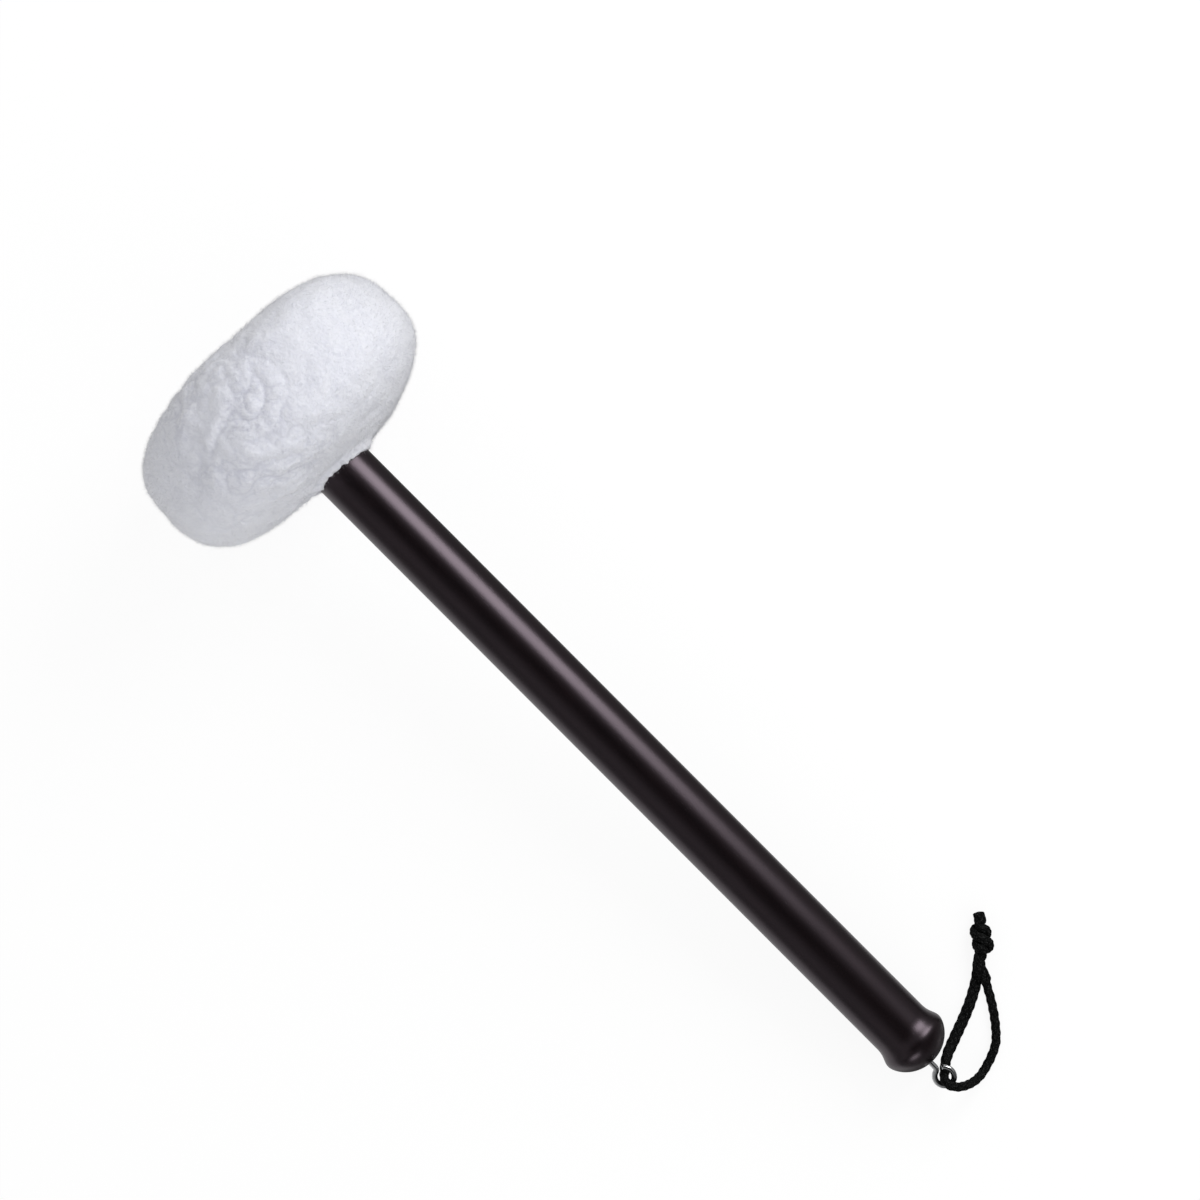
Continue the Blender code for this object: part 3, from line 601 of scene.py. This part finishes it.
def full_place(angle, turn):
    """A place on the plain full oval of the head and the way out of it there, in its own axes."""
    sin, cos = math.sin(angle), math.cos(angle)
    half, fullness = (FRONT_HALF, FRONT_FULLNESS) if cos > 0 else (HEAD_HALF, FULLNESS)
    radius = (HEAD_RADIUS - PILE_INSET) * abs(sin) ** (2 / fullness)
    height = math.copysign((half - PILE_INSET) * abs(cos) ** (2 / fullness), cos)
    outward = (radius / HEAD_RADIUS) ** (fullness - 1) / HEAD_RADIUS
    forward = math.copysign((abs(height) / half) ** (fullness - 1) / half, height)
    out = Vector((outward, forward)).normalized()
    cos_turn, sin_turn = math.cos(turn), math.sin(turn)
    place = Vector((radius * cos_turn, radius * sin_turn, height))
    return place, Vector((out.x * cos_turn, out.x * sin_turn, out.y))


def lump_at(place):
    """Height of the cotton lumps at a place, and how deep it lies in a crease, from 0 to 1, which sets
    the painted shade there.
    """
    bent = place + noise.noise_vector(place / LUMP_BEND_SIZE) * LUMP_BEND
    height, crease = 0.0, 0.0
    for size, tall in LUMPS:
        swell = math.hypot(noise.noise(bent / size), LUMP_SOFTNESS)
        height += (swell - LUMP_LEVEL) * tall
        crease = max(crease, 1 - swell / LUMP_SEAM)
    patchy = 0.6 + noise.noise(place / CREASE_SHADE_PATCH) * 1.6
    return height, crease * min(1.0, max(0.2, patchy))


def fleece_place(angle, turn):
    """A place on the fleece's backing, the way out of it there, and how deep in a crease it is, for the
    painted crease shade.
    """
    place, out = full_place(angle, turn)
    lumps, crease = lump_at(place)
    patchy = noise.noise(place / ROUGH_PATCH + ROUGH_START) * 0.7
    rough = 1.1 - abs(place.y - ROUGH_MIDDLE) / ROUGH_RUN + patchy
    strength = SMOOTH_LUMPS + (1 - SMOOTH_LUMPS) * min(1.0, max(0.0, rough))
    lift = noise.noise(place / BILLOW + BILLOW_START) * BILLOW_HEIGHT + lumps * strength
    lift += noise.noise(place / NUB) * NUB_HEIGHT
    front = 0.5 + 0.5 * math.tanh(place.z / FRONT_TO_REAR)
    for power, (ahead, behind) in enumerate(zip(FRONT_SWELL, REAR_SWELL)):
        lift += (behind + (ahead - behind) * front) * (place.y / HEAD_RADIUS) ** power
    moved = place + out * lift
    radius = math.hypot(place.x, place.y)
    if place.z < 0 and radius < LIP_RADIUS:
        share = (radius - NECK_RADIUS) / (LIP_RADIUS - NECK_RADIUS)
        edge = min(1.0, max(0.0, share * 4))
        ragged = 0.75
        for start_at, waves, tall in LIP_WAVES:
            ragged += tall * noise.noise(Vector((math.cos(turn), math.sin(turn), start_at)) * waves)
        moved = place + out * (lift * edge)
        moved.z -= LIP * ragged * (1 - share) ** LIP_CURVE
    moved = LIE @ moved
    moved.z = max(moved.z, REST_GAP)
    return moved, (LIE.to_3x3() @ out).normalized(), max(0.0, crease) * strength


neck_angle = math.pi - math.asin((NECK_RADIUS / (HEAD_RADIUS - PILE_INSET)) ** (FULLNESS / 2))
angles = []
travelled = [0.0]
samples = [neck_angle * i / LINE_STEPS for i in range(LINE_STEPS + 1)]
for before, now in zip(samples, samples[1:]):
    stretch = full_place(now, 0.0)[0] - full_place(before, 0.0)[0]
    travelled.append(travelled[-1] + stretch.length)
reach = 0
for row in range(1, FLEECE_ROWS + 1):
    while reach < LINE_STEPS and travelled[reach] < travelled[-1] * row / FLEECE_ROWS:
        reach += 1
    angles.append(samples[reach])

points = [fleece_place(0.0, 0.0)[0]]
creases = [0.0]
for angle in angles:
    for side in range(FLEECE_SIDES):
        moved, _, crease = fleece_place(angle, 2 * math.pi * side / FLEECE_SIDES)
        points.append(moved)
        creases.append(crease)
faces = [(0, 1 + side, 1 + (side + 1) % FLEECE_SIDES) for side in range(FLEECE_SIDES)]


PADDING_HALF = 0.0233
PADDING_RADIUS = 0.0463
PADDING_FULLNESS = 3.2
PADDING_STEPS = 24


def padding_line():
    """The line just outside the padding, from the front of the head to its neck."""
    half, radius = PADDING_HALF + FIT_GAP, PADDING_RADIUS + FIT_GAP
    end = math.pi - math.asin((NECK_RADIUS / radius) ** (PADDING_FULLNESS / 2))
    line = []
    for i in range(PADDING_STEPS + 1):
        sin, cos = math.sin(end * i / PADDING_STEPS), math.cos(end * i / PADDING_STEPS)
        height = math.copysign(half * abs(cos) ** (2 / PADDING_FULLNESS), cos)
        line.append((radius * abs(sin) ** (2 / PADDING_FULLNESS), height))
    return line


def mark_crease_shade(piece, depths):
    """Gives each point of a piece how deep it lies in a crease, which its colour follows as painted
    shade.
    """
    marks = piece.data.attributes.new("crease", "FLOAT", "POINT")
    marks.data.foreach_set("value", depths)


inside = [(NECK_RADIUS, NECK_MIDDLE - CHANNEL_HALF), (CHANNEL_RADIUS, NECK_MIDDLE - CHANNEL_HALF)]
inside += [(CHANNEL_RADIUS, NECK_MIDDLE + CHANNEL_HALF), (NECK_RADIUS, NECK_MIDDLE + CHANNEL_HALF)]
inside += padding_line()[::-1]
for radius, height in inside:
    if radius > 1e-6:
        for side in range(FLEECE_SIDES):
            turn = 2 * math.pi * side / FLEECE_SIDES
            points.append(LIE @ Vector((radius * math.cos(turn), radius * math.sin(turn), height)))
            creases.append(0.0)
rows = FLEECE_ROWS + len(inside) - 1
for row in range(rows - 1):
    for side in range(FLEECE_SIDES):
        first = 1 + row * FLEECE_SIDES + side
        second = 1 + row * FLEECE_SIDES + (side + 1) % FLEECE_SIDES
        faces.append((first, first + FLEECE_SIDES, second + FLEECE_SIDES, second))
last = 1 + (rows - 1) * FLEECE_SIDES
points.append(LIE @ Vector((0.0, 0.0, inside[-1][1])))
creases.append(0.0)
for side in range(FLEECE_SIDES):
    faces.append((last + side, len(points) - 1, last + (side + 1) % FLEECE_SIDES))

white_fleece, start, place, shader = new_finish(
    "white_fleece",
    Specular_IOR_Level=0.1,
    Sheen_Weight=0.15,
    Sheen_Roughness=0.5,
    Subsurface_Weight=0.8,
    Subsurface_Radius=(1.0, 1.0, 1.0),
    Subsurface_Scale=0.0012,
)
crease = start.node("Attribute", {"attribute_name": "crease"}, output=2)
fluff = start.speckle(place, 0.0011, 5.0)
patch = start.speckle(place, 0.0065, 2.0)
colour = (fluff * 0.4 + patch * 0.6).between((0.775, 0.785, 0.85), (0.885, 0.895, 0.955))
# Painted shade: the colour goes grey-blue in the creases between the lumps, where shade falls.
connect(shader["Base Color"], (crease * 0.70).between(colour, (0.62, 0.63, 0.71)))
connect(shader["Roughness"], 0.86 + fluff * 0.12)
relief(shader["Normal"], fluff + start.speckle(place, 0.0030, 3.0), 0.0004)

backing = add_piece("fleece_backing", points, faces, white_fleece, "mallet")
mark_crease_shade(backing, creases)
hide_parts("fleece_cover")

FUZZ_SPACING = 0.00084
FUZZ_LENGTH = (0.0006, 0.0021)
FUZZ_RADIUS = 0.00005
FUZZ_ROOT = 0.0001  # how deep a fibre's foot sits in the backing
FUZZ_LEAN = 0.8
FUZZ_SWIRL = 0.008  # size of the patches that lean one way
FUZZ_CLEAR = 0.0005  # the lowest that a fibre may reach
FIRST_ANGLE = 0.004
TRAVEL_PER_RADIAN = 0.045  # of the oval's own angle, in metres
pile = random.Random(FLEECE_SEED)
points, faces, creases = [], [], []
travel = 0.0
for now, start_at in zip(samples[1:], travelled):
    if start_at < travel:
        continue
    travel += FUZZ_SPACING
    around = max(3, round(2 * math.pi * math.hypot(*full_place(now, 0.0)[0].xy) / FUZZ_SPACING))
    for side in range(around):
        shifted = now + pile.uniform(-0.5, 0.5) * FUZZ_SPACING / TRAVEL_PER_RADIAN
        angle = min(neck_angle, max(FIRST_ANGLE, shifted))
        turn = 2 * math.pi * (side + pile.uniform(-0.5, 0.5)) / around
        foot, out, crease = fleece_place(angle, turn)
        plain, _ = full_place(angle, turn)
        lean = Vector([pile.uniform(-FUZZ_LEAN, FUZZ_LEAN) for _ in range(3)])
        lean = noise.noise_vector(plain / FUZZ_SWIRL) + lean
        lean = lean - out * lean.dot(out)
        way = (out * pile.uniform(0.2, 1.0) + lean).normalized()
        across = way.cross(out).normalized()
        over = across.cross(way)
        foot -= out * FUZZ_ROOT
        tip = foot + way * pile.uniform(*FUZZ_LENGTH)
        if min(foot.z, tip.z) < FUZZ_CLEAR:
            continue
        first = len(points)
        size = FUZZ_RADIUS * pile.uniform(0.8, 1.25)
        for corner in range(3):
            spin = math.pi / 2 + 2 * math.pi * corner / 3
            points.append(foot + (across * math.cos(spin) + over * math.sin(spin)) * size)
        points.append(tip)
        faces += [(first + corner, first + (corner + 1) % 3, first + 3) for corner in range(3)]
        faces.append((first + 2, first + 1, first))
        # Each fibre's foot takes the painted crease shade of the backing under it.
        creases += [crease, crease, crease, 0.0]
pile_piece = add_piece("fleece_pile", points, faces, white_fleece, "mallet")
mark_crease_shade(pile_piece, creases)

# Each fibre has its own small square on the map that its colours are kept on: a fan of its three
# sides, and its foot in a corner.
columns = math.ceil(math.sqrt(len(points) / 4))
SIDE_SPOTS = [
    ((0.05, 0.05), (0.60, 0.05)), ((0.60, 0.05), (0.95, 0.50)), ((0.95, 0.50), (0.60, 0.95)),
]  # fmt: skip
TIP_SPOT = (0.05, 0.95)
FOOT_SPOTS = [(0.80, 0.05), (0.95, 0.05), (0.95, 0.20)]
layout = pile_piece.data.uv_layers.new(name="OFBake")
for polygon in pile_piece.data.polygons:
    fibre, kind = divmod(polygon.index, 4)
    row, column = divmod(fibre, columns)
    spots = FOOT_SPOTS if kind == 3 else [*SIDE_SPOTS[kind], TIP_SPOT]
    for corner, (u, v) in zip(polygon.loop_indices, spots):
        layout.data[corner].uv = ((column + u) / columns, (row + v) / columns)

# Drawcord that gathers the fleece round the handle. It is twisted white cotton.
twisted_cotton, start, place, shader = new_finish("twisted_cotton", Specular_IOR_Level=0.2)
twist = start.node("TexWave", {}, {"Vector": place, "Scale": 260.0, "Distortion": 1.5})
# Painted shade: the grooves of the twist are coloured darker than its ridges.
connect(shader["Base Color"], twist.between((0.58, 0.57, 0.54), (0.84, 0.83, 0.80)))
connect(shader["Roughness"], 0.8 + twist * 0.1)
relief(shader["Normal"], twist, 0.0002)
frame["nodes"]["neck_drawcord"].material_slots[0].material = twisted_cotton

# Screw eye. A bright plated steel wire, bent to a ring that almost closes, with a plain shank and
# a rolled thread that bites in the wood of the butt.
WIRE_RADIUS = 0.0010
EYE_RING_RADIUS = 0.0034
EYE_CENTRE = -0.3314
EYE_REACH = 0.00705
EYE_TURN = math.radians(15)
EYE_CUT_ANGLE = math.radians(27)
EYE_LEAVE_ANGLE = math.radians(20)
PLAIN_SHANK = 0.003
THREAD_LENGTH = 0.013
THREAD_PITCH = 0.0011
THREAD_CREST = 0.00105
THREAD_ROOT = 0.00075
THREAD_TIP = 0.0020
THREAD_STEPS = 10  # in one pitch
RING_STEPS = 96
BEND_STEPS = 16
WIRE_SIDES = 28

wire = []
turn = 2 * math.pi - EYE_LEAVE_ANGLE - EYE_CUT_ANGLE
for i in range(RING_STEPS + 1):
    angle = EYE_CUT_ANGLE + turn * i / RING_STEPS
    wire.append((EYE_RING_RADIUS * math.sin(angle), EYE_RING_RADIUS * math.cos(angle)))
bend_start = wire[-1]
bend = bend_start[0] / (math.sin(EYE_LEAVE_ANGLE) - 1)
for i in range(1, BEND_STEPS + 1):
    angle = EYE_LEAVE_ANGLE + (math.pi / 2 - EYE_LEAVE_ANGLE) * i / BEND_STEPS
    across = bend_start[0] + bend * (math.sin(angle) - math.sin(EYE_LEAVE_ANGLE))
    wire.append((across, bend_start[1] + bend * (math.cos(EYE_LEAVE_ANGLE) - math.cos(angle))))
ring_pieces = len(wire)
thread_top = EYE_REACH + PLAIN_SHANK + THREAD_LENGTH
thread_start = wire[-1][1]
count = round((thread_top - thread_start) / (THREAD_PITCH / THREAD_STEPS))
wire += [(0.0, thread_start + (thread_top - thread_start) * i / count) for i in range(1, count + 1)]

seat = LIE @ Matrix.Translation((0.0, EYE_OFF_AXIS, EYE_CENTRE)) @ Matrix.Rotation(-EYE_TURN, 4, "Z")
points = []
for index, (across, height) in enumerate(wire):
    low, high = wire[max(0, index - 1)], wire[min(len(wire) - 1, index + 1)]
    ahead = Vector((0.0, high[0] - low[0], high[1] - low[1])).normalized()
    flat = Vector((1.0, 0.0, 0.0))
    beside = ahead.cross(flat)
    grip = min(1.0, max(0.0, (height - EYE_REACH - PLAIN_SHANK) / THREAD_PITCH))
    grip = grip if index > ring_pieces else 0.0
    cut = min(1.0, 0.72 + 0.28 * index / 3)  # the wire's cut end is a little rounded
    for side in range(WIRE_SIDES):
        spin = 2 * math.pi * side / WIRE_SIDES
        ridge = abs(((height / THREAD_PITCH - side / WIRE_SIDES) % 1) * 2 - 1)
        thread = THREAD_ROOT + (THREAD_CREST - THREAD_ROOT) * ridge
        radius = WIRE_RADIUS * cut + grip * (thread - WIRE_RADIUS)
        radius *= min(1.0, max(0.02, (thread_top - height) / THREAD_TIP)) if grip else 1.0
        middle = Vector((0.0, across, height))
        points.append(seat @ (middle + (flat * math.cos(spin) + beside * math.sin(spin)) * radius))
faces = [tuple(range(WIRE_SIDES))]
for index in range(len(wire) - 1):
    for side in range(WIRE_SIDES):
        first, second = index * WIRE_SIDES + side, index * WIRE_SIDES + (side + 1) % WIRE_SIDES
        faces.append((first, first + WIRE_SIDES, second + WIRE_SIDES, second))
faces.append(tuple(reversed(range((len(wire) - 1) * WIRE_SIDES, len(wire) * WIRE_SIDES))))

bright_plate, start, place, shader = new_finish("bright_plate", Metallic=1.0)
rub = start.speckle(place, 0.0009, 4.0)
connect(shader["Base Color"], rub.between((0.86, 0.87, 0.89), (0.93, 0.94, 0.95)))
connect(shader["Roughness"], 0.13 + rub * 0.10)
relief(shader["Normal"], rub, 0.00001)
eye = add_piece("screw_eye", points, faces, bright_plate, "mallet")
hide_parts("eye_screw")

# Surface and light. A plain pale surface in a pale room, lighter to the sides than overhead and
# lightest beyond the butt, with a wide soft lamp on the loop's side and a small one beyond the butt.
# Lacquer and plate mirror a darker room than the camera sees, black overhead, with dark boards.
# Round the point under the eye the surface is painted dark, as the eye's shadow, in bounced and mirrored
# light.
FLOOR_HALF = 40.0
SIDE_LIGHT = 0.61
TOP_LIGHT = 0.34
FRONT_LIGHT = 0.70
BUTT_LIGHT = 1.18
BUTT_MIDDLE = HEAD_MIDDLE + TO_BUTT * 0.318

# Each lamp: its name, what it shines on, its direction along the handle, to the loop's side and up,
# its distance, the direction that its length follows, its length, its height and its radiance.
LAMPS = [
    ("key_lamp", HEAD_MIDDLE, (-0.022, 0.835, 0.56), 0.90, TO_BUTT, 0.46, 0.60, 4.65),
    ("butt_lamp", BUTT_MIDDLE, (0.835, -0.44, 0.45), 0.80, TO_LOOP, 0.32, 0.17, 3.0),
]

mesh = bpy.data.meshes.new("floor")
corners = [(-1, -1), (1, -1), (1, 1), (-1, 1)]
mesh.from_pydata([(x * FLOOR_HALF, y * FLOOR_HALF, 0.0) for x, y in corners], [], [(0, 1, 2, 3)])
floor = bpy.data.objects.new("floor", mesh)
bpy.context.scene.collection.objects.link(floor)
floor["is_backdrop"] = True
pale, start, place, _ = new_finish("pale_surface")
pale.cycles.emission_sampling = "NONE"
along, across = [start.node("SeparateXYZ", {}, {"Vector": place}, k) for k in (0, 1)]
under_eye = {0: place, 1: (RING_CENTRE.x, 0.0, 0.0)}
from_eye = start.node("VectorMath", {"operation": "DISTANCE"}, under_eye, 1)


def board_and_eye_shadow_mask(beside, ahead, eye_shadow_edge):
    """1 on the dark board to the loop's side and the one beyond the butt, and on the painted shadow
    round the point under the eye, else 0.
    """
    dark = along.maths("MAXIMUM", across.steps(*beside), along.steps(*ahead))
    return along.maths("MAXIMUM", dark, 1 - from_eye.steps(*eye_shadow_edge))


BOARD_AHEAD = (0.190, 0.205)
# Painted shadow: besides the boards, each mask darkens a disc round the point under the eye, as the
# eye's shadow.
dark_boards_and_eye_shadow = board_and_eye_shadow_mask((0.004, 0.025), BOARD_AHEAD, (0.012, 0.022))
dark_mirrored = board_and_eye_shadow_mask((0.016, 0.036), BOARD_AHEAD, (0.016, 0.028))
dark_mirrored = along.maths("MAXIMUM", dark_mirrored, 1 - across.steps(-0.50, -0.08))
by_camera, by_gloss, by_glass = [start.node("LightPath", output=output) for output in (0, 3, 6)]
pale_board = start.node("BsdfDiffuse", {}, {"Color": (0.80, 0.80, 0.80, 1.0)})
dark_board_and_eye_shadow = start.node("BsdfDiffuse", {}, {"Color": (0.20, 0.20, 0.20, 1.0)})
shade = start.node("BsdfDiffuse", {}, {"Color": (0.13, 0.13, 0.13, 1.0)})
white = start.node("Emission", {}, {"Strength": 0.89})
pale_glow = start.node("Emission", {}, {"Strength": 0.59})
dark_glow = start.node("Emission", {}, {"Strength": 0.13})
lit = start.node("MixShader", {}, {0: dark_boards_and_eye_shadow, 1: pale_board, 2: dark_board_and_eye_shadow})
seen = start.node("AddShader", {}, {0: shade, 1: white})
mirrored = start.node("AddShader", {}, {0: shade, 1: pale_glow})
mirrored = start.node("MixShader", {}, {0: dark_mirrored, 1: mirrored, 2: dark_glow})
straight = by_camera.maths("MAXIMUM", by_camera, by_glass)
lit = start.node("MixShader", {}, {0: straight, 1: lit, 2: seen})
lit = start.node("MixShader", {}, {0: by_gloss, 1: lit, 2: mirrored})
connect(pale.node_tree.nodes["Material Output"].inputs["Surface"], lit)
floor.data.materials.append(pale)

for name, target, (x, y, z), distance, level, length, height, radiance in LAMPS:
    lamp = bpy.data.objects.new(name, bpy.data.lights.new(name, "AREA"))
    bpy.context.scene.collection.objects.link(lamp)
    lamp.data.shape = "RECTANGLE"
    lamp.data.size = length
    lamp.data.size_y = height
    lamp.data.energy = radiance * math.pi * length * height
    toward = (TO_BUTT * x + TO_LOOP * y + UPWARD * z).normalized()
    sideways = (level - toward * level.dot(toward)).normalized()
    place = target + toward * distance
    lamp.matrix_world = placed(place, sideways, toward.cross(sideways), toward)

world = bpy.data.worlds.new("studio")
bpy.context.scene.world = world
world.use_nodes = True
world.cycles.sampling_method = "NONE"
start = Thread(world.node_tree)
way = start.node("TexCoord", output=0)
height = start.node("VectorMath", {"operation": "DOT_PRODUCT"}, {0: way, 1: tuple(UPWARD)}, 1)
ahead = start.node("VectorMath", {"operation": "DOT_PRODUCT"}, {0: way, 1: tuple(TO_BUTT)}, 1)
greys = [
    (0.0, 0.24), (0.10, 0.14), (0.21, 0.12), (0.56, 0.27), (0.80, 0.18), (0.92, 0.04), (1.0, 0.0),
]  # fmt: skip
stops = [(at, (grey,) * 3) for at, grey in greys]
mirrored = start.node("ValToRGB", {"stops": stops}, {"Fac": height})
mirrored = ahead.steps(0.25, 0.60).between(mirrored, (0.05, 0.05, 0.05))
by_camera, by_gloss = [start.node("LightPath", output=output) for output in (0, 3)]
sky = height.between((SIDE_LIGHT,) * 3, (TOP_LIGHT,) * 3)
sky = ahead.steps(0.0, 0.9).between(sky, (BUTT_LIGHT,) * 3)
sky = (0 - ahead).steps(0.0, 0.9).between(sky, (FRONT_LIGHT,) * 3)
sky = by_gloss.between(sky, mirrored)
sky = by_camera.between(sky, (1.0, 1.0, 1.0))
connect(world.node_tree.nodes["Background"].inputs["Color"], sky)

low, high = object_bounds()
